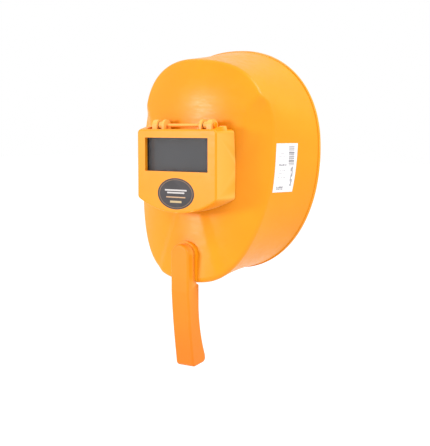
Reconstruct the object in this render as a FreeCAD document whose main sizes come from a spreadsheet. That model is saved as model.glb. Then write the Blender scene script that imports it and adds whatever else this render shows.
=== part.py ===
import FreeCAD, Part
import functools
import math
import os

import Sketcher
from FreeCAD import Vector

# Hand-held welding face shield: a moulded shell with a forehead dome and a deep skirt,
# a flip-up lens frame on a hinge rod, and a handle screwed into a socket at the chin.
#
# The pieces are drawn around the lens datum: the centre of the viewing window on the
# front plane of the lens frame. X is across the shield, Y runs back towards the wearer
# and Z is up. Each sub-part's Placement then moves the datum so that the document's
# origin is the centre of the hand grip. Lengths are in millimetres.

SIZES = {
    # where the grip centre lies, seen from the lens datum
    "grip_back": 20.0, "grip_drop": 212.0,
    # shell: front surface
    "shell_wall": 2.5, "cheek_across_radius": 182.0, "cheek_depth": 31.8,
    "chin_slope": 0.082, "chin_start": -45.0, "chin_blend": 20.0,
    "dome_across_radius": 236.0, "forehead_depth": 31.0, "forehead_level": 60.0,
    "forehead_radius": 146.0, "brow_radius": 800.0, "brow_half_width": 80.0,
    "brow_level": 35.0, "brow_drop": 68.0, "brow_flare": 0.012, "brow_step": 14.0,
    "pad_rise": 2.5, "pad_top": -64.0, "pad_half_width": 18.8, "pad_flare": 0.36,
    "pad_blend": 13.0,
    # shell: outline of the front edge and of the rim
    "edge_depth": 50.0, "edge_half_width": 98.6, "edge_level": 32.0, "edge_top": 122.3,
    "edge_bottom": -160.2, "edge_top_power": 2.5, "edge_bottom_power": 3.02,
    "rim_depth": 135.0, "rim_half_width": 128.0, "rim_level": 7.3, "rim_top": 134.4,
    "rim_bottom": -153.4, "rim_top_power": 2.2, "rim_bottom_power": 2.1, "edge_fillet": 6.0,
    "lip_width": 0.9, "lip_depth": 3.0, "skirt_start": 15.0,
    # spacing and reach of the net of points through which the front surface runs
    "net_spacing": 6.0, "net_half_width": 136.0, "net_top": 148.0, "net_bottom": -188.0,
    "net_extent": 200.0,
    # glass plates and their openings
    "glass_width": 108.0, "glass_height": 50.8, "glass_level": 0.5, "pocket_play": 0.5,
    "window_width": 98.0, "window_height": 42.0, "cover_thickness": 1.5, "filter_thickness": 3.0,
    "gasket_thickness": 2.5, "gasket_band": 4.0, "retainer_thickness": 2.0,
    # lens frame
    "frame_half_width": 61.7, "frame_top": 32.0, "frame_side_bottom": -54.5, "frame_bottom": -72.5,
    "frame_reach": 56.0, "frame_wall": 2.5, "frame_face": 3.0, "glass_seat": 5.0,
    "frame_corner": 5.0, "frame_edge": 2.4, "frame_gap": 1.0, "surround_wall": 2.2,
    "frame_screw_x": 40.0, "frame_screw_level": -33.5, "boss_radius": 3.6,
    "hook_middle": 30.0, "hook_half_width": 6.0,
    "brow_lug_inner": 52.5, "brow_lug_rise": 4.2, "brow_lug_back": 24.5,
    # fixed window of the shell
    "aperture_width": 100.0, "aperture_height": 44.0, "inner_seat": 45.5, "inner_ring_end": 50.0,
    "inner_glass_thickness": 2.0, "inner_screw_x": 63.5, "inner_screw_z": 22.0,
    "inner_retainer_width": 137.0, "inner_retainer_height": 58.0,
    # hinge
    "hinge_back": 18.5, "hinge_level": 37.0, "rod_radius": 1.9, "rod_half_length": 47.4,
    "ear_radius": 7.2, "ear_inner": 27.5, "ear_inner_end": 31.0, "ear_outer": 39.0,
    "ear_outer_end": 46.2, "knuckle_start": 32.0, "knuckle_end": 38.0, "knuckle_radius": 4.6,
    "knuckle_arm_end": 35.5, "running_clearance": 0.06, "washer_thickness": 0.6,
    "washer_radius": 4.5, "cap_radius": 4.0, "cap_start": 46.5, "cap_end": 48.4,
    "cap_rounding": 1.2,
    # handle and its socket
    "handle_half_width": 13.8, "handle_front": 6.5, "handle_back": 24.0, "grip_back_step": 7.0,
    "handle_top": -112.0, "handle_bottom": -270.5, "handle_edge": 3.0, "handle_wall": 3.0,
    "bend_drop": 60.0, "bend_slope": 0.063, "bend_radius": 867.0, "cell_margin": 14.0,
    "cell_web": 2.4, "socket_band": 3.0, "socket_front": 18.5, "socket_play": 0.12,
    "socket_backing": 27.5, "upper_screw_level": -130.0, "lower_screw_level": -152.0,
    "handle_screw_radius": 2.45, "insert_radius": 3.5, "insert_depth": 8.0,
    "inside_face": 30.0, "screw_flat_radius": 7.5, "handle_screw_tip": 17.0,
    "handle_head_radius": 4.6, "handle_head_depth": 3.4, "handle_head_slot": 5.0,
    "washer_outer": 6.0, "washer_bore": 2.75, "washer_depth": 1.0,
    "handle_hole_play": 0.25,
    # small screws
    "small_screw_radius": 1.45, "small_head_radius": 2.8, "small_head_depth": 2.0,
    "small_screw_length": 5.0, "small_head_slot": 3.2, "pilot_play": 0.05, "hole_play": 0.15,
    "pilot_depth": 3.4,
    # labels
    "emblem_width": 57.0, "emblem_height": 39.0, "emblem_level": -48.0, "label_thickness": 0.3,
    "label_gap": 0.04, "spec_label_front": 66.5, "spec_label_top": 14.6,
    "spec_label_depth": 32.0, "spec_label_drop": 60.8, "spec_label_lean": 2.8,
}

doc = FreeCAD.newDocument("welding_face_shield")
sheet = doc.addObject("Spreadsheet::Sheet", "sizes")
for row, (alias, value) in enumerate(SIZES.items(), start=1):
    sheet.set("A%d" % row, alias.replace("_", " "))
    sheet.set("B%d" % row, str(value))
    sheet.setAlias("B%d" % row, alias)
doc.recompute()

subparts = []


@functools.lru_cache(maxsize=None)
def value(expression):
    """The number that a spreadsheet expression such as '-frame_top / 2' gives."""
    return float(sheet.evalExpression(str(expression)))


def bound(expression):
    """The same expression as an object outside the sheet has to write it."""
    words = []
    word = ""
    for letter in str(expression) + " ":
        if letter.isalnum() or letter in "_.":
            word += letter
            continue
        words.append("sizes." + word if word in SIZES else word)
        words.append(letter)
        word = ""
    return "".join(words).strip()


def finish(obj, label):
    """Name a finished sub-part and move it from the lens datum to the grip frame."""
    obj.Label = label
    for axis, shift in (("x", "0"), ("y", "-grip_back"), ("z", "grip_drop")):
        obj.setExpression("Placement.Base." + axis, bound(shift) + " * 1 mm")
    subparts.append(obj)


# ---------------------------------------------------------------- sketch helpers

def sketch_on(body, name, role, offset="0"):
    """A sketch on an origin plane of its body, moved along the plane's normal."""
    sketch = body.newObject("Sketcher::SketchObject", name)
    plane = [item for item in body.Origin.OriginFeatures if item.Role == role][0]
    sketch.AttachmentSupport = [(plane, "")]
    sketch.MapMode = "FlatFace"
    sketch.setExpression("AttachmentOffset.Base.z", "(" + bound(offset) + ") * 1 mm")
    return sketch


def pin_point(sketch, geometry, end, x, y):
    """Hold one end of a sketch element at a place given by two expressions."""
    for kind, place in (("DistanceX", x), ("DistanceY", y)):
        index = sketch.addConstraint(
            Sketcher.Constraint(kind, -1, 1, geometry, end, value(place)))
        sketch.setExpression("Constraints[%d]" % index, bound(place))


def add_polygon(sketch, points):
    """Closed straight-sided loop through points given as pairs of expressions."""
    places = [Vector(value(x), value(y), 0) for x, y in points]
    first = sketch.GeometryCount
    for index, (x, y) in enumerate(points):
        follower = places[(index + 1) % len(places)]
        line = sketch.addGeometry(Part.LineSegment(places[index], follower))
        if index:
            sketch.addConstraint(Sketcher.Constraint("Coincident", line - 1, 2, line, 1))
        pin_point(sketch, line, 1, x, y)
    last = sketch.GeometryCount - 1
    sketch.addConstraint(Sketcher.Constraint("Coincident", last, 2, first, 1))


def add_rectangle(sketch, half_width, low, high):
    add_polygon(sketch, [
        ("-(%s)" % half_width, low), (half_width, low),
        (half_width, high), ("-(%s)" % half_width, high)])


def add_circle(sketch, x, y, radius):
    circle = sketch.addGeometry(
        Part.Circle(Vector(value(x), value(y), 0), Vector(0, 0, 1), value(radius)))
    pin_point(sketch, circle, 3, x, y)
    index = sketch.addConstraint(Sketcher.Constraint("Radius", circle, value(radius)))
    sketch.setExpression("Constraints[%d]" % index, bound(radius))


def extrude(body, kind, sketch, length, backwards=False, centred=False):
    """A Pad or Pocket of a sketch. 'backwards' runs against the sketch's normal for a pad."""
    feature = body.newObject("PartDesign::" + kind, sketch.Name + "_" + kind.lower())
    feature.Profile = sketch
    feature.setExpression("Length", "(" + bound(length) + ") * 1 mm")
    feature.Reversed = backwards
    feature.Midplane = centred
    sketch.Visibility = False
    doc.recompute()
    return feature


def fillet(body, name, base, edges, radius):
    feature = body.newObject("PartDesign::Fillet", name)
    feature.Base = (base, edges)
    feature.setExpression("Radius", bound(radius) + " * 1 mm")
    doc.recompute()
    return feature


def edges_where(feature, test):
    """Names of a feature's edges whose bounding box passes a test."""
    names = []
    for index, edge in enumerate(feature.Shape.Edges, start=1):
        if test(edge.BoundBox):
            names.append("Edge%d" % index)
    return names


def new_body(name):
    return doc.addObject("PartDesign::Body", name)


# An XZ sketch faces -Y, so a depth y behind the datum is an offset of -y. A reversed pad
# and a plain pocket both run from there towards the wearer.

def depth_pad(body, name, draw, start, end):
    sketch = sketch_on(body, name, "XZ_Plane", "-(%s)" % start)
    draw(sketch)
    return extrude(body, "Pad", sketch, "(%s) - (%s)" % (end, start), backwards=True)


def depth_pocket(body, name, draw, start, end):
    sketch = sketch_on(body, name, "XZ_Plane", "-(%s)" % start)
    draw(sketch)
    return extrude(body, "Pocket", sketch, "(%s) - (%s)" % (end, start))


def across_pad(body, name, draw, start, end):
    """A pad along X between two stations; its sketch has Y across and Z up."""
    sketch = sketch_on(body, name, "YZ_Plane", start)
    draw(sketch)
    return extrude(body, "Pad", sketch, "(%s) - (%s)" % (end, start))


def add_outline(sketch, corners):
    """Closed loop of lines and arcs. A corner is (x, y) or (x, y, radius): with a radius
    the way to the next corner is an arc, anticlockwise if the radius is positive."""
    places = [Vector(value(corner[0]), value(corner[1]), 0) for corner in corners]
    ends = []
    for index, corner in enumerate(corners):
        start = places[index]
        stop = places[(index + 1) % len(places)]
        if len(corner) == 2:
            line = sketch.addGeometry(Part.LineSegment(start, stop))
            ends.append((line, 1, 2))
            continue
        radius = value(corner[2])
        chord = stop - start
        rise = math.sqrt(max(radius ** 2 - chord.Length ** 2 / 4, 0))
        left = Vector(-chord.y, chord.x, 0).normalize()
        centre = (start + stop) / 2 + left * math.copysign(rise, radius)
        first, last = (start, stop) if radius > 0 else (stop, start)
        angles = [math.atan2(point.y - centre.y, point.x - centre.x) for point in (first, last)]
        circle = Part.Circle(centre, Vector(0, 0, 1), abs(radius))
        arc = sketch.addGeometry(Part.ArcOfCircle(circle, *angles))
        ends.append((arc, 1, 2) if radius > 0 else (arc, 2, 1))
        if rise > 0.01:
            index = sketch.addConstraint(Sketcher.Constraint("Radius", arc, abs(radius)))
            sketch.setExpression("Constraints[%d]" % index, "abs(%s)" % bound(corner[2]))
        else:
            sketch.addConstraint(Sketcher.Constraint("DistanceY", -1, 1, arc, 3, centre.y))
    for index, corner in enumerate(corners):
        element, start_end, _ = ends[index]
        before, _, before_end = ends[index - 1]
        sketch.addConstraint(
            Sketcher.Constraint("Coincident", before, before_end, element, start_end))
        pin_point(sketch, element, start_end, corner[0], corner[1])


def add_arch(sketch, centre, level, radius, foot):
    """Straight-sided tab from 'foot' up to a half-round top."""
    add_outline(sketch, [
        ("%s + %s" % (centre, radius), foot),
        ("%s + %s" % (centre, radius), level, radius),
        ("%s - %s" % (centre, radius), level),
        ("%s - %s" % (centre, radius), foot)])


def ring_plate(name, label, outer_width, outer_height, inner_width, inner_height, start, end):
    """Flat plate across the view, with a rectangular window unless inner_width is None."""
    body = new_body(name)

    def draw(sketch):
        for width, height in ((outer_width, outer_height), (inner_width, inner_height)):
            if width is not None:
                add_rectangle(sketch, "(%s) / 2" % width,
                              "glass_level - (%s) / 2" % height, "glass_level + (%s) / 2" % height)

    depth_pad(body, name + "_sketch", draw, start, end)
    if label:
        finish(body, label)
    return body


# ---------------------------------------------------------------- shell surfaces

def drop_of_arc(radius, along):
    """How far an arc falls away from its tangent at a distance along the tangent."""
    return radius - math.sqrt(radius ** 2 - along ** 2)


def front_depth(x, z, pad):
    """Depth of the shell's front surface behind the datum.

    The cheeks curve round the face more tightly than the forehead dome, so the dome
    stands a little proud of them along the brow line, most at its sides. The chin leans
    forwards below the lens frame and the dome leans back towards its top. 'pad' is the
    rise of the raised panel round the handle's root.
    """
    below = value("chin_start") - z
    lean = value("chin_slope") * (below + math.hypot(below, value("chin_blend"))) / 2
    cheek = value("cheek_depth") - lean + drop_of_arc(value("cheek_across_radius"), x)

    rise = z - value("forehead_level")
    turn = value("forehead_radius") if rise > 0 else value("brow_radius")
    dome = (value("forehead_depth") + drop_of_arc(turn, rise)
            + drop_of_arc(value("dome_across_radius"), x))

    above_brow = z - value("brow_level")
    half_width = value("brow_half_width") + value("brow_flare") * max(above_brow, 0) ** 2
    reach = math.hypot(x / half_width, min(above_brow, 0) / value("brow_drop"))
    inside = (1 - reach) * value("brow_drop")
    share = smooth_step(inside / value("brow_step") + 0.5)
    depth = cheek + (dome - cheek) * share

    pad_edge = value("pad_half_width") + value("pad_flare") * max(value("pad_top") - z, 0)
    beside = smooth_step((pad_edge - abs(x)) / value("pad_blend") + 0.5)
    under = smooth_step((value("pad_top") - z) / value("pad_blend") + 0.5)
    return depth - pad * beside * under


def smooth_step(t):
    t = min(max(t, 0.0), 1.0)
    return t * t * (3 - 2 * t)


def space_behind_front(shift, pad):
    """Solid space behind the front surface, moved back by 'shift'."""
    spacing = value("net_spacing")
    half_columns = math.ceil(value("net_half_width") / spacing)
    rows = math.ceil(value("net_top - net_bottom") / spacing)
    net = []
    for column in range(-half_columns, half_columns + 1):
        x = column * spacing
        heights = [value("net_top") - row * spacing for row in range(rows, -1, -1)]
        net.append([Vector(x, front_depth(x, z, pad) + shift, z) for z in heights])
    surface = Part.BSplineSurface()
    surface.interpolate(net)
    return surface.toShape().extrude(Vector(0, value("net_extent"), 0))


def outline_point(angle, half_width, level, top, bottom, top_power, bottom_power):
    """Point of a superellipse whose upper and lower halves differ, at a polar angle."""
    across, up = math.cos(angle), math.sin(angle)
    power, height = (top_power, top - level) if up >= 0 else (bottom_power, level - bottom)
    reach = (abs(across / half_width) ** power + abs(up / height) ** power) ** (-1 / power)
    return Vector(reach * across, 0, level + reach * up)


def skirt_outline(depth, outset):
    """Skirt's outline at a depth: on the straight way from the front edge to the rim."""
    share = (depth - value("edge_depth")) / (value("rim_depth") - value("edge_depth"))
    points = []
    steps = 48
    for step in range(steps):
        angle = 2 * math.pi * step / steps
        edge = outline_point(
            angle, value("edge_half_width") + outset, value("edge_level"),
            value("edge_top") + outset, value("edge_bottom") - outset,
            value("edge_top_power"), value("edge_bottom_power"))
        rim = outline_point(
            angle, value("rim_half_width") + outset, value("rim_level"),
            value("rim_top") + outset, value("rim_bottom") - outset,
            value("rim_top_power"), value("rim_bottom_power"))
        point = edge + (rim - edge) * share
        points.append(Vector(point.x, depth, point.z))
    curve = Part.BSplineCurve()
    curve.interpolate(Points=points, PeriodicFlag=True)
    return Part.Wire([curve.toShape()])


def skirt_space(start, end, outset):
    return Part.makeLoft([skirt_outline(start, outset), skirt_outline(end, outset)], True, True)


def round_front_edge(solid, radius):
    """Round the edge where the front surface meets the skirt."""
    edges = [edge for edge in solid.Edges
             if edge.BoundBox.XLength > 150 and edge.BoundBox.YMax < 80]
    return solid.makeFillet(radius, edges)


def block(x_low, x_high, y_low, y_high, z_low, z_high):
    return Part.makeBox(
        x_high - x_low, y_high - y_low, z_high - z_low, Vector(x_low, y_low, z_low))


def rod_along_y(radius, x, z, start, end):
    return Part.makeCylinder(radius, end - start, Vector(x, start, z), Vector(0, 1, 0))


def arch_prism(half_width, top, foot, start, end):
    """Half-round-topped prism along Y, standing on 'foot'."""
    level = top - half_width
    tab = block(-half_width, half_width, start, end, foot, level)
    return tab.fuse(rod_along_y(half_width, 0, level, start, end)).removeSplitter()


def make_shell():
    wall = value("shell_wall")
    rim = value("rim_depth")
    start = value("skirt_start")
    outer = skirt_space(start, rim, 0).common(space_behind_front(0, value("pad_rise")))
    outer = round_front_edge(outer.Solids[0], value("edge_fillet"))
    ahead = value("socket_front") - 5  # every solid that starts in front of the shell
    inner = skirt_space(start, rim, -wall).common(space_behind_front(wall, 0))

    # seat behind the front for the fixed safety glass, with a boss for each screw
    seat = value("inner_seat")
    ring_end = value("inner_ring_end")
    level = value("glass_level")
    half_pocket = value("glass_width") / 2 + value("pocket_play")
    half_rise = value("glass_height") / 2 + value("pocket_play")
    ring_wall = value("surround_wall") + 1
    ring = block(-half_pocket - ring_wall, half_pocket + ring_wall, ahead, ring_end,
                 level - half_rise - ring_wall, level + half_rise + ring_wall)
    bosses = [rod_along_y(value("boss_radius"), x, level + z, ahead, ring_end)
              for x, z in inner_screw_places()]
    # flat bosses inside the chin for the handle's screws
    flats = [rod_along_y(value("screw_flat_radius"), 0, z, ahead, value("inside_face"))
             for z in handle_screw_levels()]
    backing = arch_prism(value("handle_half_width") + value("socket_band"),
                         value("handle_top") + value("socket_band"), value("edge_bottom") + 2,
                         ahead, value("socket_backing"))
    inside = ring.multiFuse(bosses + flats + [backing]).common(outer)
    body = outer.cut(inner).fuse(inside)

    # socket round the top of the handle
    play = value("socket_play")
    half_grip = value("handle_half_width")
    band = value("socket_band")
    socket = arch_prism(half_grip + band, value("handle_top") + band, value("edge_bottom") + 2,
                        value("socket_front"), value("handle_back") + 1.5)
    # hinge knuckles reaching forwards from the forehead, and the lip round the rim
    knuckles = [make_knuckle(side) for side in (-1, 1)]
    lip = skirt_space(rim - value("lip_depth"), rim, value("lip_width")).cut(
        skirt_space(rim - value("lip_depth") - 1, rim + 1, -wall / 2))
    body = body.multiFuse([socket, lip] + knuckles)

    half_aperture = value("aperture_width") / 2
    half_opening = value("aperture_height") / 2
    cuts = [
        block(-half_aperture, half_aperture, ahead, seat + 1,
              level - half_opening, level + half_opening),
        block(-half_pocket, half_pocket, seat, ring_end + 1, level - half_rise, level + half_rise),
        arch_prism(half_grip + play, value("handle_top") + play, value("edge_bottom") - 10,
                   ahead, value("handle_back") + play),
        Part.makeCylinder(value("rod_radius"), 2 * value("rim_half_width"),
                          Vector(-value("rim_half_width"), value("hinge_back"),
                                 value("hinge_level")), Vector(1, 0, 0)),
    ]
    cuts += [rod_along_y(value("small_screw_radius + pilot_play"), x, level + z,
                         ring_end - value("pilot_depth"), ring_end + 1)
             for x, z in inner_screw_places()]
    cuts += [rod_along_y(value("handle_screw_radius + handle_hole_play"), 0, z, ahead,
                         value("inside_face") + 1) for z in handle_screw_levels()]
    return body.cut(cuts[0].multiFuse(cuts[1:]))


def make_knuckle(side):
    """Hinge knuckle: an eye round the rod and an arm back to the forehead."""
    start, end = sorted((side * value("knuckle_start"), side * value("knuckle_end")))
    back, level = value("hinge_back"), value("hinge_level")
    radius = value("knuckle_radius")
    eye = Part.makeCylinder(radius, end - start, Vector(start, back, level), Vector(1, 0, 0))
    arm = block(start, end, back, value("knuckle_arm_end"), level - radius, level + radius)
    return eye.fuse(arm)


def inner_screw_places():
    x, z = value("inner_screw_x"), value("inner_screw_z")
    return [(-x, -z), (x, -z), (-x, z), (x, z)]


def handle_screw_levels():
    return [value("upper_screw_level"), value("lower_screw_level")]


def feature(label, shape):
    obj = doc.addObject("Part::Feature", label)
    obj.Shape = shape
    return obj


finish(feature("shell", make_shell()), "shell")


# ---------------------------------------------------------------- lens frame

def frame_outline(inset):
    """Front outline of the lens frame: a box whose bottom edge is one shallow arc."""
    half = "(frame_half_width - %s)" % inset
    low = "(frame_side_bottom + %s / 2)" % inset
    sag = "(%s - (frame_bottom + %s))" % (low, inset)
    radius = "((%s * %s + %s * %s) / (2 * %s))" % (half, half, sag, sag, sag)
    top = "(frame_top - %s)" % inset

    def draw(sketch):
        add_outline(sketch, [("-" + half, low, radius), (half, low), (half, top), ("-" + half, top)])

    return draw


def make_lens_frame():
    body = new_body("frame_body")
    outside = depth_pad(body, "frame_outline", frame_outline("0"), "0", "frame_reach")
    corners = edges_where(outside, lambda box: box.XLength < 0.1 and box.ZLength < 0.1)
    corners = fillet(body, "frame_corners", outside, corners, "frame_corner")
    front = edges_where(corners, lambda box: box.YMax < 0.1)
    fillet(body, "frame_front_edge", corners, front, "frame_edge")
    depth_pocket(body, "frame_hollow", frame_outline("frame_wall"), "frame_face", "frame_reach + 1")

    pocket_half = "(glass_width / 2 + pocket_play)"
    pocket_rise = "(glass_height / 2 + pocket_play)"
    stack_end = "glass_seat + cover_thickness + filter_thickness + gasket_thickness"

    def surround(sketch):
        add_rectangle(sketch, pocket_half + " + surround_wall",
                      "glass_level - surround_wall - " + pocket_rise, "frame_top - frame_wall")

    def screw_bosses(sketch):
        for side in "-+":
            add_circle(sketch, side + "frame_screw_x", "frame_screw_level", "boss_radius")

    def pilot_holes(sketch):
        for side in "-+":
            add_circle(sketch, side + "frame_screw_x", "frame_screw_level",
                       "small_screw_radius + pilot_play")

    def glass_pocket(sketch):
        add_rectangle(sketch, pocket_half, "glass_level - " + pocket_rise,
                      "glass_level + " + pocket_rise)

    def window(sketch):
        add_rectangle(sketch, "window_width / 2", "glass_level - window_height / 2",
                      "glass_level + window_height / 2")

    def hooks(sketch):
        for side in "-+":
            near = "%shook_middle - hook_half_width" % side
            far = "%shook_middle + hook_half_width" % side
            low, high = "frame_top - frame_wall - 3", "frame_top - frame_wall + 0.5"
            add_polygon(sketch, [(near, low), (far, low), (far, high), (near, high)])

    depth_pad(body, "glass_surround", surround, "frame_face - 0.5", stack_end)
    depth_pad(body, "retainer_bosses", screw_bosses, "frame_face - 0.5", stack_end)
    depth_pocket(body, "retainer_pilots", pilot_holes, "frame_face + 3", stack_end)
    depth_pocket(body, "glass_pocket", glass_pocket, "glass_seat", stack_end)
    depth_pocket(body, "view_window", window, "-1", "glass_seat + 1")
    depth_pad(body, "retainer_hooks", hooks, stack_end + " + retainer_thickness + 0.1",
              stack_end + " + retainer_thickness + 2.1")

    def emblem_recess(sketch):
        sketch.addGeometry(Part.Ellipse(
            Vector(0, value("emblem_level"), 0),
            value("emblem_width") / 2 + 0.1, value("emblem_height") / 2 + 0.1))

    depth_pocket(body, "emblem_recess", emblem_recess, "-1", "label_thickness")

    def brow_lug(sketch):
        foot, top = "frame_top - frame_wall + 0.1", "frame_top + brow_lug_rise"
        add_polygon(sketch, [
            ("frame_edge", foot), ("brow_lug_back", foot), ("brow_lug_back", top + " - 1"),
            ("brow_lug_back - 3", top), ("frame_edge + 2", "frame_top - 0.2")])

    across_pad(body, "brow_lug_right", brow_lug, "brow_lug_inner", "frame_half_width - 1")
    across_pad(body, "brow_lug_left", brow_lug, "1 - frame_half_width", "-brow_lug_inner")

    def ear(sketch):
        add_arch(sketch, "hinge_back", "hinge_level", "ear_radius", "frame_top - 1")

    for name, start, end in (("inner_ear", "ear_inner", "ear_inner_end"),
                             ("outer_ear", "ear_outer", "ear_outer_end")):
        across_pad(body, name + "_right", ear, start, end)
        across_pad(body, name + "_left", ear, "-" + end, "-" + start)
    bore = sketch_on(body, "hinge_bore", "YZ_Plane", "0")
    add_circle(bore, "hinge_back", "hinge_level", "rod_radius + running_clearance")
    extrude(body, "Pocket", bore, "3 * frame_half_width", centred=True)

    # the back edge of the frame follows the shell's front at a small distance
    limit = feature("frame_limit", space_behind_front(-value("frame_gap"), value("pad_rise")))
    trimmed = doc.addObject("Part::Cut", "frame_trimmed")
    trimmed.Base = body
    trimmed.Tool = limit
    doc.recompute()
    finish(trimmed, "lens_frame")


make_lens_frame()


# ---------------------------------------------------------------- glass and its retainers

def make_glass_stacks():
    stack = [("cover_glass", "cover_thickness", None), ("filter_glass", "filter_thickness", None),
             ("filter_gasket", "gasket_thickness", "gasket_band")]
    start = "glass_seat"
    for label, thickness, band in stack:
        end = start + " + " + thickness
        opening = (None, None)
        if band:
            opening = ("glass_width - 2 * " + band, "glass_height - 2 * " + band)
        ring_plate(label + "_body", label, "glass_width", "glass_height", *opening, start, end)
        start = end
    make_filter_retainer(start)

    start = "inner_seat"
    end = "inner_seat + inner_glass_thickness"
    ring_plate("inner_glass_body", "inner_glass", "glass_width", "glass_height",
               None, None, start, end)
    ring_plate("inner_gasket_body", "inner_gasket", "glass_width", "glass_height",
               "glass_width - 2 * gasket_band", "glass_height - 2 * gasket_band",
               end, "inner_ring_end")
    retainer = ring_plate("inner_retainer_body", None, "inner_retainer_width",
                          "inner_retainer_height", "window_width + 1", "window_height + 1",
                          "inner_ring_end", "inner_ring_end + retainer_thickness")

    def holes(sketch):
        for side in "-+":
            for upright in "-+":
                add_circle(sketch, side + "inner_screw_x", "glass_level %s inner_screw_z" % upright,
                           "small_screw_radius + hole_play")

    depth_pocket(retainer, "inner_retainer_holes", holes, "inner_ring_end - 1",
                 "inner_ring_end + retainer_thickness + 1")
    finish(retainer, "inner_retainer")


def make_filter_retainer(start):
    """Frame that holds the plates in the lens frame, with two screw tabs at its foot."""
    body = new_body("filter_retainer_body")
    end = start + " + retainer_thickness"

    def plate(sketch):
        low = "glass_level - glass_height / 2 - 3"
        tab = "frame_screw_level - 4.5"
        inner, outer = "frame_screw_x - 5", "frame_screw_x + 5"
        side = "glass_width / 2 + 2"
        top = "frame_top - frame_wall - 0.4"
        add_polygon(sketch, [
            ("-(%s)" % side, low), ("-(%s)" % outer, low), ("-(%s)" % outer, tab),
            ("-(%s)" % inner, tab), ("-(%s)" % inner, low), (inner, low), (inner, tab),
            (outer, tab), (outer, low), (side, low), (side, top), ("-(%s)" % side, top)])
        add_rectangle(sketch, "window_width / 2 + 0.5", "glass_level - window_height / 2 - 0.5",
                      "glass_level + window_height / 2 + 0.5")

    def holes(sketch):
        for side in "-+":
            add_circle(sketch, side + "frame_screw_x", "frame_screw_level",
                       "small_screw_radius + hole_play")

    depth_pad(body, "filter_retainer_plate", plate, start, end)
    depth_pocket(body, "filter_retainer_holes", holes, start + " - 1", end + " + 1")
    finish(body, "filter_retainer")


make_glass_stacks()


# ---------------------------------------------------------------- screws, washers, inserts

def pan_screw(shaft_radius, length, head_radius, head_depth, recess):
    """Screw driven forwards from the origin, which is at the underside of its head."""
    shaft = Part.makeCylinder(shaft_radius, length, Vector(0, 0, 0), Vector(0, -1, 0))
    tip = [edge for edge in shaft.Edges if edge.BoundBox.YMax < -length + 0.01]
    shaft = shaft.makeChamfer(shaft_radius * 0.35, tip)
    head = Part.makeCylinder(head_radius, head_depth, Vector(0, 0, 0), Vector(0, 1, 0))
    crown = [edge for edge in head.Edges if edge.BoundBox.YMin > head_depth - 0.01]
    head = head.makeFillet(head_depth * 0.6, crown)
    screw = head.fuse(shaft)
    for length_x, length_z in ((recess, recess / 4), (recess / 4, recess)):
        screw = screw.cut(block(-length_x / 2, length_x / 2, head_depth * 0.4, head_depth + 1,
                                -length_z / 2, length_z / 2))
    return screw


def group(label, shape, places):
    """One node that holds the same piece at several places."""
    copies = []
    for place in places:
        copy = shape.copy()
        copy.translate(place)
        copies.append(copy)
    finish(feature(label, Part.makeCompound(copies)), label)


def make_fasteners():
    small = pan_screw(value("small_screw_radius"), value("small_screw_length"),
                      value("small_head_radius"), value("small_head_depth"),
                      value("small_head_slot"))
    inner_depth = value("inner_ring_end + retainer_thickness")
    group("inner_retainer_screws", small,
          [Vector(x, inner_depth, value("glass_level") + z) for x, z in inner_screw_places()])
    frame_depth = value("glass_seat + cover_thickness + filter_thickness + gasket_thickness"
                        " + retainer_thickness")
    group("filter_retainer_screws", small,
          [Vector(side * value("frame_screw_x"), frame_depth, value("frame_screw_level"))
           for side in (-1, 1)])

    face = value("inside_face")
    thick = value("washer_depth")
    washer = rod_along_y(value("washer_outer"), 0, 0, 0, thick).cut(
        rod_along_y(value("washer_bore"), 0, 0, -thick, 2 * thick))
    group("handle_washers", washer, [Vector(0, face, z) for z in handle_screw_levels()])
    long_screw = pan_screw(
        value("handle_screw_radius"), face + thick - value("handle_screw_tip"),
        value("handle_head_radius"), value("handle_head_depth"), value("handle_head_slot"))
    group("handle_screws", long_screw,
          [Vector(0, face + thick, z) for z in handle_screw_levels()])
    radius = value("insert_radius")
    depth = value("insert_depth")
    insert = rod_along_y(radius, 0, 0, -depth, 0).cut(
        rod_along_y(value("handle_screw_radius"), 0, 0, -depth - 1, 1))
    group("handle_inserts", insert,
          [Vector(0, value("handle_back"), z) for z in handle_screw_levels()])


make_fasteners()


# ---------------------------------------------------------------- hinge

def make_hinge():
    body = new_body("hinge_rod_body")

    def section(sketch):
        add_circle(sketch, "hinge_back", "hinge_level", "rod_radius")

    across_pad(body, "rod_section", section, "-rod_half_length", "rod_half_length")
    finish(body, "hinge_rod")

    centre = Vector(0, value("hinge_back"), value("hinge_level"))
    rod_radius = value("rod_radius")

    def disc(radius, bore, start, end):
        base = Vector(start, 0, 0)
        along = Vector(1, 0, 0)
        solid = Part.makeCylinder(radius, end - start, base, along)
        return solid.cut(Part.makeCylinder(bore, end - start, base, along))

    thickness = value("washer_thickness")
    gap = 0.1
    washers = []
    caps = []
    for side in (-1, 1):
        for face, outward in ((value("knuckle_end"), 1), (value("knuckle_start"), -1)):
            near = side * (face + outward * gap)
            far = side * (face + outward * (gap + thickness))
            washers.append(disc(value("washer_radius"), rod_radius, *sorted((near, far))))
        start, end = sorted((side * value("cap_start"), side * value("cap_end")))
        cap = Part.makeCylinder(value("cap_radius"), end - start, Vector(start, 0, 0),
                                Vector(1, 0, 0))
        dome = [edge for edge in cap.Edges if abs(edge.BoundBox.XMin - side * value("cap_end")) < 0.01
                and edge.BoundBox.XLength < 0.01]
        cap = cap.makeFillet(value("cap_rounding"), dome)
        caps.append(cap.cut(Part.makeCylinder(
            rod_radius, 2 * value("rod_half_length"), Vector(-value("rod_half_length"), 0, 0),
            Vector(1, 0, 0))))
    group("friction_washers", Part.makeCompound(washers), [centre])
    group("rod_caps", Part.makeCompound(caps), [centre])


make_hinge()


# ---------------------------------------------------------------- handle

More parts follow.
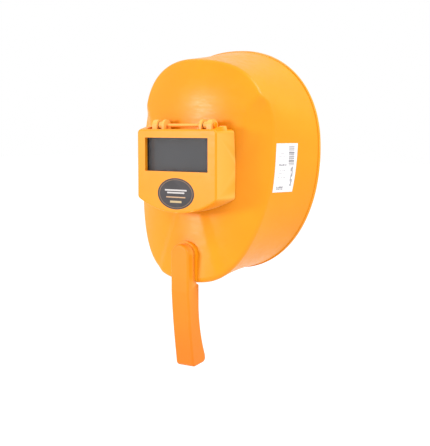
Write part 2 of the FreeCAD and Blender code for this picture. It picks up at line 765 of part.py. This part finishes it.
def make_handle():
    body = new_body("handle_body")
    profile = [
        ("handle_back", "handle_top"), ("handle_front", "handle_top"),
        ("handle_front", "handle_top - bend_drop", "bend_radius"),
        ("handle_front + 8.7", "handle_bottom + 17.5"), ("handle_front + 11", "handle_bottom"),
        ("handle_front + 39", "handle_bottom + 4"),
        ("handle_front + 37.8", "handle_bottom + 13.5", "-197"),
        ("handle_back + grip_back_step", "handle_top - 82"),
        ("handle_back + grip_back_step", "edge_bottom - 5.5"),
        ("handle_back", "edge_bottom - 2")]
    sketch = sketch_on(body, "handle_profile", "YZ_Plane")
    add_outline(sketch, profile)
    solid = extrude(body, "Pad", sketch, "2 * handle_half_width", centred=True)

    def outside_arch(sketch):
        level = "handle_top - handle_half_width"
        outer = "handle_half_width + 1"
        add_outline(sketch, [
            (outer, level), (outer, "handle_top + 1"), ("-(%s)" % outer, "handle_top + 1"),
            ("-(%s)" % outer, level), ("-handle_half_width", level, "-handle_half_width"),
            ("handle_half_width", level)])

    solid = depth_pocket(body, "handle_arch", outside_arch, "0", "handle_back + 5")
    foot = edges_where(solid, lambda box: box.ZMax < value("handle_bottom + 4.1")
                       and box.XLength > 20)
    solid = fillet(body, "handle_foot", solid, foot, "2 * handle_edge")
    lower = edges_where(solid, lambda box: box.ZMax < value("edge_bottom - 5") + 0.1
                        and box.XLength < 0.1)
    front = edges_where(solid, lambda box: box.ZMax > value("edge_bottom")
                        and box.YMax < value("handle_front") + 0.1)
    solid = fillet(body, "handle_edges", solid, lower + front, "handle_edge")

    # ribbed hollow, open at the back
    cells = 4
    cell_top = value("edge_bottom - cell_margin")
    cell_bottom = value("handle_bottom + cell_margin")
    pitch = (cell_top - cell_bottom) / cells
    hollow = sketch_on(body, "handle_cells", "YZ_Plane")
    for cell in range(cells):
        high = cell_top - cell * pitch
        low = high - pitch + value("cell_web")
        add_polygon(hollow, [(str(handle_front_at(high)), str(high)), ("60", str(high)),
                             ("60", str(low)), (str(handle_front_at(low)), str(low))])
    extrude(body, "Pocket", hollow, "2 * (handle_half_width - handle_wall)", centred=True)

    def insert_holes(sketch):
        for level in ("upper_screw_level", "lower_screw_level"):
            add_circle(sketch, "0", level, "insert_radius")

    depth_pocket(body, "insert_holes", insert_holes, "handle_back - insert_depth - 0.5",
                 "handle_back + 1")
    finish(body, "handle")


def handle_front_at(level):
    """Depth of the front wall of the handle's hollow at a level."""
    below = max(value("handle_top - bend_drop") - level, 0)
    return (value("handle_front + handle_wall") + value("bend_slope") * below
            + below ** 2 / (2 * value("bend_radius")))


make_handle()


# ---------------------------------------------------------------- labels

def make_labels():
    emblem = doc.addObject("Part::Feature", "emblem")
    ellipse = Part.Ellipse(Vector(0, 0, 0), value("emblem_width") / 2, value("emblem_height") / 2)
    face = Part.Face(Part.Wire([ellipse.toShape()]))
    face.rotate(Vector(0, 0, 0), Vector(1, 0, 0), 90)
    face.translate(Vector(0, value("label_thickness"), value("emblem_level")))
    emblem.Shape = face.extrude(Vector(0, -value("label_thickness"), 0))
    finish(emblem, "oval_emblem")

    front, top = value("spec_label_front"), value("spec_label_top")
    back, bottom = front + value("spec_label_depth"), top - value("spec_label_drop")
    lean = value("spec_label_lean") / 2
    corners = [(front + lean, top), (back + lean, top),
               (back - lean, bottom), (front - lean, bottom)]
    inside = value("edge_half_width") - 20
    wire = Part.makePolygon([Vector(inside, y, z) for y, z in corners + corners[:1]])
    prism = Part.Face(wire).extrude(Vector(2 * inside, 0, 0))
    start, rim = value("skirt_start"), value("rim_depth")
    over_label = skirt_space(start, rim, value("label_thickness") + value("label_gap"))
    under_label = skirt_space(start, rim, value("label_gap"))
    patch = prism.common(over_label).cut(under_label)
    finish(feature("spec_label", patch), "spec_label")


make_labels()


# ---------------------------------------------------------------- check and write

doc.recompute()
for obj in doc.Objects:
    if "Invalid" in obj.State or "Error" in obj.State:
        raise RuntimeError("%s is %s" % (obj.Name, obj.State))
os.makedirs("parts", exist_ok=True)
for subpart in subparts:
    shape = subpart.Shape
    if shape.isNull() or not shape.isValid() or not shape.Solids:
        raise RuntimeError(subpart.Label + " has no valid solid")
for subpart in subparts:
    subpart.Shape.exportStep("parts/%s.step" % subpart.Label)
    print("%-24s %8.0f mm3 %d solid" % (
        subpart.Label, subpart.Shape.Volume, len(subpart.Shape.Solids)))
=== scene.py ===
import math

import bpy
from mathutils import Matrix, Vector


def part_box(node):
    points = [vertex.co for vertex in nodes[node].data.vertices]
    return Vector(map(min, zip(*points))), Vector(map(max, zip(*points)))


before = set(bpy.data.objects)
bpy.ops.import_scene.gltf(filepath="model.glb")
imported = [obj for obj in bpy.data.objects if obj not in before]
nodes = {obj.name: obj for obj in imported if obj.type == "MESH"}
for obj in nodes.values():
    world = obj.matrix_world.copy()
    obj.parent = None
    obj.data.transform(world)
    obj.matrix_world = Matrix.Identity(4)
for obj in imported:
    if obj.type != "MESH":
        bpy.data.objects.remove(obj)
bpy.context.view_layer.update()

# Hand-held welding face shield: looks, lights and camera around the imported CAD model.
# Everything is in metres in the row frame: +Z up, the window faces -Y, grip at the origin.

MM = 0.001


# ---------------------------------------------------------------- node helpers

class Shader:
    """A material's node tree with short calls for the nodes used here."""

    def __init__(self, name):
        self.material = bpy.data.materials.new(name)
        self.material.use_nodes = True
        self.tree = self.material.node_tree
        self.surface = self.tree.nodes["Principled BSDF"]
        self.place = self.add("ShaderNodeTexCoord").outputs["Object"]

    def add(self, kind, **settings):
        node = self.tree.nodes.new(kind)
        for name, setting in settings.items():
            setattr(node, name, setting)
        return node

    def put(self, socket, given):
        """Link a socket, or set its value."""
        if isinstance(given, bpy.types.NodeSocket):
            self.tree.links.new(given, socket)
        else:
            socket.default_value = given

    def set(self, **values):
        """Set or link inputs of the Principled shader; '_' in a name stands for a space."""
        for name, given in values.items():
            self.put(self.surface.inputs[name.replace("_", " ")], given)

    def scaled(self, x, y, z):
        """Object coordinates stretched along each axis."""
        node = self.add("ShaderNodeMapping")
        self.put(node.inputs["Vector"], self.place)
        node.inputs["Scale"].default_value = (x, y, z)
        return node.outputs["Vector"]

    def noise(self, scale, detail=3.0, roughness=0.5, vector=None):
        node = self.add("ShaderNodeTexNoise")
        self.put(node.inputs["Vector"], vector or self.place)
        node.inputs["Scale"].default_value = scale
        node.inputs["Detail"].default_value = detail
        node.inputs["Roughness"].default_value = roughness
        return node.outputs["Fac"]

    def range(self, given, low, high, to_low=0.0, to_high=1.0):
        """Smoothly map a number from one range onto another."""
        node = self.add("ShaderNodeMapRange", interpolation_type="SMOOTHSTEP")
        self.put(node.inputs["Value"], given)
        for name, number in (("From Min", low), ("From Max", high),
                             ("To Min", to_low), ("To Max", to_high)):
            node.inputs[name].default_value = number
        return node.outputs["Result"]

    def math(self, operation, first, second=0.0, third=0.0):
        node = self.add("ShaderNodeMath", operation=operation)
        self.put(node.inputs[0], first)
        self.put(node.inputs[1], second)
        self.put(node.inputs[2], third)
        return node.outputs[0]

    def mix(self, share, first, second):
        node = self.add("ShaderNodeMix", data_type="RGBA")
        self.put(node.inputs["Factor"], share)
        self.put(node.inputs["A"], first)
        self.put(node.inputs["B"], second)
        return node.outputs["Result"]

    def bump(self, height, distance, strength=1.0, normal=None):
        node = self.add("ShaderNodeBump")
        self.put(node.inputs["Height"], height)
        node.inputs["Distance"].default_value = distance
        node.inputs["Strength"].default_value = strength
        if normal:
            self.put(node.inputs["Normal"], normal)
        return node.outputs["Normal"]

    def axis(self, index):
        node = self.add("ShaderNodeSeparateXYZ")
        self.put(node.inputs[0], self.place)
        return node.outputs[index]

    def edges(self, low, high):
        """0 on flat ground, 1 along sharp convex edges."""
        return self.range(self.add("ShaderNodeNewGeometry").outputs["Pointiness"], low, high)


def dress(material, *names):
    """Put a material on CAD nodes."""
    for name in names:
        slots = nodes[name].data.materials
        slots.clear()
        slots.append(material)


# ---------------------------------------------------------------- materials

def orange_plastic(name, deep, pale, roughness, grain, shaded_below=None):
    """Moulded polypropylene: faintly cloudy colour, orange-peel skin, light handling marks.

    Below a given height the colour deepens slowly: painted shade, darker towards the bottom as on
    a grip lit from above.
    """
    shader = Shader(name)
    clouds = shader.range(shader.noise(14, 4, 0.55), 0.3, 0.7)
    flow = shader.range(shader.noise(5, 2, 0.5, shader.scaled(6, 1, 1)), 0.35, 0.75)
    colour = shader.mix(clouds, deep, pale)
    colour = shader.mix(shader.math("MULTIPLY", flow, 0.25), colour, pale)
    if shaded_below is not None:
        # painted shade: the colour darkens towards the bottom, standing in for the dimmer light
        # on the lower grip
        low_shade = shader.range(shader.axis(2), shaded_below - 0.14, shaded_below, 1.0, 0.0)
        colour = shader.mix(low_shade, colour, (0.70, 0.17, 0.003, 1))
    specks = shader.range(shader.noise(420, 2, 0.6), 0.68, 0.76)
    colour = shader.mix(shader.math("MULTIPLY", specks, 0.12), colour, (0.55, 0.2, 0.02, 1))
    # convex edges painted paler: partly rubbed wear, partly a painted highlight in the colour of
    # the sheen along the shell's creases
    edge_wear_and_sheen = shader.edges(0.53, 0.62)
    colour = shader.mix(shader.math("MULTIPLY", edge_wear_and_sheen, 0.35), colour, (1.0, 0.62, 0.22, 1))
    skin = shader.noise(grain, 3, 0.6)
    scuffs = shader.noise(160, 5, 0.7, shader.scaled(0.35, 1, 1.6))
    shine = shader.range(scuffs, 0.3, 0.75, roughness - 0.05, roughness + 0.1)
    normal = shader.bump(skin, 0.00012, 0.35)
    normal = shader.bump(shader.noise(60, 2), 0.0004, 0.12, normal)
    shader.set(Base_Color=colour, Roughness=shine, Normal=normal, IOR=1.33)
    return shader.material


def clear_glass():
    shader = Shader("clear_glass")
    smears = shader.noise(24, 4, 0.6)
    tint = shader.mix(smears, (0.36, 0.37, 0.39, 1), (0.44, 0.44, 0.45, 1))
    shader.set(Base_Color=tint, Roughness=shader.range(smears, 0.4, 0.8, 0.02, 0.06),
               Alpha=shader.range(smears, 0.3, 0.8, 0.06, 0.1))
    return shader.material


def dark_glass():
    shader = Shader("dark_glass")
    tint = shader.mix(shader.range(shader.noise(9, 2), 0.3, 0.7),
                      (0.066, 0.068, 0.076, 1), (0.082, 0.083, 0.09, 1))
    smears = shader.noise(40, 5, 0.65, shader.scaled(1, 1, 2.5))
    shader.set(Base_Color=tint, Roughness=shader.range(smears, 0.4, 0.75, 0.03, 0.1), IOR=1.5)
    return shader.material


def black_plastic():
    shader = Shader("black_plastic")
    grain = shader.noise(900, 3, 0.6)
    colour = shader.mix(shader.range(shader.noise(30), 0.3, 0.7),
                        (0.018, 0.018, 0.02, 1), (0.035, 0.035, 0.037, 1))
    shader.set(Base_Color=colour, Normal=shader.bump(grain, 0.0001, 0.5),
               Roughness=shader.range(grain, 0.3, 0.7, 0.42, 0.6))
    return shader.material


def foam_rubber():
    shader = Shader("foam_rubber")
    cells = shader.add("ShaderNodeTexVoronoi")
    shader.put(cells.inputs["Vector"], shader.place)
    cells.inputs["Scale"].default_value = 1800
    pores = cells.outputs["Distance"]
    colour = shader.mix(shader.range(pores, 0.1, 0.6), (0.008, 0.008, 0.009, 1),
                        (0.03, 0.03, 0.032, 1))
    shader.set(Base_Color=colour, Roughness=shader.range(pores, 0.1, 0.6, 0.95, 0.75),
               Normal=shader.bump(pores, 0.0002, 0.6))
    return shader.material


def metal(name, bright, dull, roughness):
    shader = Shader(name)
    lathe = shader.noise(700, 3, 0.6, shader.scaled(1, 8, 1))
    stains = shader.range(shader.noise(220, 4, 0.6), 0.45, 0.7)
    shader.set(Base_Color=shader.mix(stains, bright, dull), Metallic=1.0,
               Roughness=shader.range(lathe, 0.3, 0.7, roughness - 0.08, roughness + 0.12),
               Normal=shader.bump(lathe, 0.00005, 0.4))
    return shader.material


def bar(shader, across, up, x, z, half_width, half_height, edge=0.0003):
    """1 inside a small rectangle of a flat label, 0 outside."""
    beside = shader.math("ABSOLUTE", shader.math("SUBTRACT", across, x))
    over = shader.math("ABSOLUTE", shader.math("SUBTRACT", up, z))
    inside_x = shader.range(beside, half_width - edge, half_width + edge, 1.0, 0.0)
    inside_z = shader.range(over, half_height - edge, half_height + edge, 1.0, 0.0)
    return shader.math("MULTIPLY", inside_x, inside_z)


def emblem_film():
    """Dark oval film with a thin pale border and plain bars where a mark would be."""
    low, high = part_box("oval_emblem")
    centre = (low + high) / 2
    half_x, half_z = (high.x - low.x) / 2, (high.z - low.z) / 2
    shader = Shader("emblem_film")
    x, z = shader.axis(0), shader.axis(2)
    across = shader.math("DIVIDE", shader.math("SUBTRACT", x, centre.x), half_x)
    up = shader.math("DIVIDE", shader.math("SUBTRACT", z, centre.z), half_z)
    reach = shader.math("SQRT", shader.math("ADD", shader.math("MULTIPLY", across, across),
                                            shader.math("MULTIPLY", up, up)))
    off_ring = shader.math("ABSOLUTE", shader.math("SUBTRACT", reach, 0.9))
    ring = shader.range(off_ring, 0.012, 0.022, 1.0, 0.0)
    film = shader.mix(shader.range(shader.noise(70, 4), 0.3, 0.7),
                      (0.022, 0.018, 0.021, 1), (0.034, 0.028, 0.032, 1))
    film = shader.mix(shader.math("MULTIPLY", ring, 0.5), film, (0.36, 0.2, 0.1, 1))
    pale, copper, gold = (0.62, 0.58, 0.57, 1), (0.6, 0.36, 0.2, 1), (0.55, 0.4, 0.2, 1)
    # millimetres: height above the middle, half width, half height
    bars = [(4.4, 17.0, 0.9, pale), (1.2, 13.5, 0.9, pale),
            (-4.3, 15.0, 0.7, copper), (-10.0, 9.0, 1.3, gold)]
    for rise, half_width, half_height, ink in bars:
        mark = bar(shader, x, z, centre.x, centre.z + rise * MM,
                   half_width * MM, half_height * MM)
        film = shader.mix(shader.math("MULTIPLY", mark, 0.85), film, ink)
    shader.set(Base_Color=film, Roughness=shader.range(shader.noise(50), 0.3, 0.7, 0.4, 0.5),
               Normal=shader.bump(shader.noise(500, 2), 0.00005, 0.3), IOR=1.38)
    return shader.material


def label_paper():
    """White paper with a block of stripes and rows of plain dashes."""
    low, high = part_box("spec_label")
    shader = Shader("label_paper")
    y, z = shader.axis(1), shader.axis(2)
    paper = shader.mix(shader.range(shader.noise(300, 3), 0.3, 0.7),
                       (0.68, 0.66, 0.67, 1), (0.75, 0.73, 0.74, 1))
    width, height = high.y - low.y, high.z - low.z
    stripes = shader.noise(1, 1, 0.5, shader.scaled(0, 0, 900))
    stripes = shader.range(stripes, 0.48, 0.52)
    code = bar(shader, y, z, high.y - 0.26 * width, high.z - 0.25 * height,
               0.12 * width, 0.2 * height)
    paper = shader.mix(shader.math("MULTIPLY", shader.math("MULTIPLY", code, stripes), 0.9),
                       paper, (0.05, 0.05, 0.06, 1))
    # shares of the label: across, down, half width, half height
    dashes = [(0.36, 0.44, 0.17, 0.018), (0.3, 0.9, 0.15, 0.02), (0.3, 0.94, 0.15, 0.012),
              (0.36, 0.2, 0.15, 0.006), (0.36, 0.26, 0.17, 0.006), (0.36, 0.32, 0.12, 0.006),
              (0.34, 0.56, 0.16, 0.006), (0.34, 0.62, 0.14, 0.006), (0.34, 0.7, 0.16, 0.006),
              (0.78, 0.68, 0.05, 0.2)]
    breaks = shader.range(shader.noise(1, 1, 0.5, shader.scaled(0, 500, 260)), 0.4, 0.5)
    for across, down, half_width, half_height in dashes:
        mark = bar(shader, y, z, low.y + across * width, high.z - down * height,
                   half_width * width, half_height * height)
        mark = shader.math("MULTIPLY", mark, breaks)
        paper = shader.mix(shader.math("MULTIPLY", mark, 0.75), paper, (0.14, 0.14, 0.16, 1))
    shader.set(Base_Color=paper, Roughness=shader.range(shader.noise(200), 0.3, 0.7, 0.5, 0.62),
               Normal=shader.bump(shader.noise(900, 2), 0.00004, 0.3))
    return shader.material


shell_plastic = orange_plastic("shell_plastic", (0.74, 0.25, 0.003, 1), (0.78, 0.275, 0.005, 1),
                               0.34, 900)
frame_plastic = orange_plastic("frame_plastic", (0.75, 0.25, 0.004, 1), (0.79, 0.275, 0.006, 1),
                               0.34, 900)
# the handle's deeper orange is partly its own tone and partly painted shade of the low grip,
# which gets less light
handle_plastic = orange_plastic("handle_plastic", (0.76, 0.215, 0.004, 1), (0.80, 0.24, 0.007, 1),
                                0.4, 700, shaded_below=0.08)
black = black_plastic()
glass = clear_glass()
rubber = foam_rubber()
zinc = metal("zinc_steel", (0.66, 0.66, 0.64, 1), (0.5, 0.49, 0.46, 1), 0.28)

dress(shell_plastic, "shell")
dress(frame_plastic, "lens_frame", "hinge_rod", "rod_caps")
dress(handle_plastic, "handle")
dress(black, "filter_retainer", "inner_retainer")
dress(glass, "cover_glass", "inner_glass")
dress(dark_glass(), "filter_glass")
dress(rubber, "filter_gasket", "inner_gasket", "friction_washers")
dress(zinc, "handle_screws", "handle_washers", "inner_retainer_screws", "filter_retainer_screws")
dress(metal("insert_brass", (0.8, 0.58, 0.25, 1), (0.6, 0.42, 0.18, 1), 0.3), "handle_inserts")
dress(emblem_film(), "oval_emblem")
dress(label_paper(), "spec_label")


# ---------------------------------------------------------------- stage, lights, camera

def pale_stage():
    """A broad pale floor well below the grip, as the shield is held up in the air."""
    reach, level = 12.0, -0.3
    mesh = bpy.data.meshes.new("floor")
    corners = [(-reach, -reach, level), (reach, -reach, level), (reach, reach, level),
               (-reach, reach, level)]
    mesh.from_pydata(corners, [], [(0, 1, 2, 3)])
    floor = bpy.data.objects.new("floor", mesh)
    bpy.context.scene.collection.objects.link(floor)
    shader = Shader("floor_paint")
    shade = shader.range(shader.noise(0.8, 2), 0.3, 0.7)
    shader.set(Base_Color=shader.mix(shade, (0.26, 0.26, 0.26, 1), (0.3, 0.3, 0.3, 1)),
               Roughness=0.9, Emission_Color=(1, 1, 1, 1), Emission_Strength=0.8)
    mesh.materials.append(shader.material)


def soft_light(name, place, target, size, power, colour):
    lamp = bpy.data.lights.new(name, "AREA")
    lamp.shape = "RECTANGLE"
    lamp.size, lamp.size_y = size
    lamp.energy = power
    lamp.color = colour
    light = bpy.data.objects.new(name, lamp)
    bpy.context.scene.collection.objects.link(light)
    aim = (Vector(target) - Vector(place)).to_track_quat("-Z", "Y")
    light.matrix_world = Matrix.Translation(place) @ aim.to_matrix().to_4x4()


def light_scene():
    world = bpy.data.worlds.new("white_room")
    world.use_nodes = True
    sky = world.node_tree.nodes["Background"].inputs
    sky["Color"].default_value = (1, 1, 1, 1)
    sky["Strength"].default_value = 1.0
    bpy.context.scene.world = world
    forehead, middle = (0.01, 0.013, 0.27), (0.0, 0.05, 0.2)
    soft_light("key", (-0.68, -1.31, 0.36), forehead, (0.31, 0.31), 12, (1.0, 0.98, 0.96))
    soft_light("side_fill", (1.5, 0.15, 1.75), middle, (1.2, 1.2), 40, (1.0, 0.99, 0.98))


def make_camera():
    """Three-quarter view from the front right, a little above the window."""
    azimuth, elevation = math.radians(35.6), math.radians(5.5)
    distance = 1.27
    right = Vector((math.cos(azimuth), math.sin(azimuth), 0))
    view = Vector((-math.sin(azimuth) * math.cos(elevation),
                   math.cos(azimuth) * math.cos(elevation), -math.sin(elevation)))
    up = right.cross(view)
    low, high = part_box("cover_glass")
    window = Vector(((low.x + high.x) / 2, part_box("lens_frame")[0].y, (low.z + high.z) / 2))
    beside_window, below_window = 0.0489, 0.0846
    aim = window + right * beside_window - up * below_window
    camera = bpy.data.objects.new("camera", bpy.data.cameras.new("camera"))
    camera.data.lens = 82.7
    camera.data.sensor_width = 36
    turn = Matrix((right, up, -view)).transposed().to_4x4()
    camera.matrix_world = Matrix.Translation(aim - view * distance) @ turn
    bpy.context.scene.collection.objects.link(camera)
    bpy.context.scene.camera = camera


pale_stage()
light_scene()
make_camera()
bpy.context.scene.view_settings.view_transform = "Standard"
